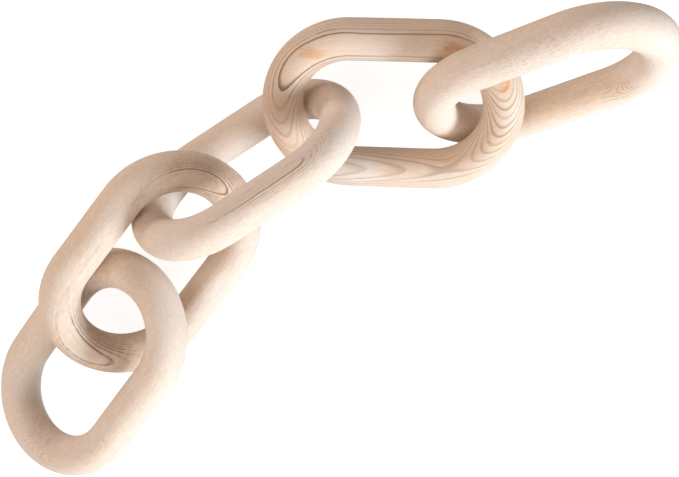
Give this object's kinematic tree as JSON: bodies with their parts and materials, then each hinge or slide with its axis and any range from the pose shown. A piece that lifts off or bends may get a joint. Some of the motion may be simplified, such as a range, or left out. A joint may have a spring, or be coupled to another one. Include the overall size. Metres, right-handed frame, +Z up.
{
  "type": "wooden chain",
  "caption": "Loose chain of interlocked closed wooden rings with a round section and long straight legs, whittled from one stick of pine, lying spread on a table.",
  "frame": {"origin": "on the table top, under the middle of the chain's box", "axes": "+Z up, +X along the chain's longest reach, +Y across it"},
  "size_m": [0.333, 0.2246, 0.0985],
  "materials": {
    "pine": "raw sanded pale pine, matte, no varnish"
  },
  "bodies": {
    "root": {"link_1": "pine", "link_2": "pine", "link_3": "pine", "link_4": "pine", "link_5": "pine"}
  },
  "joints": []
}
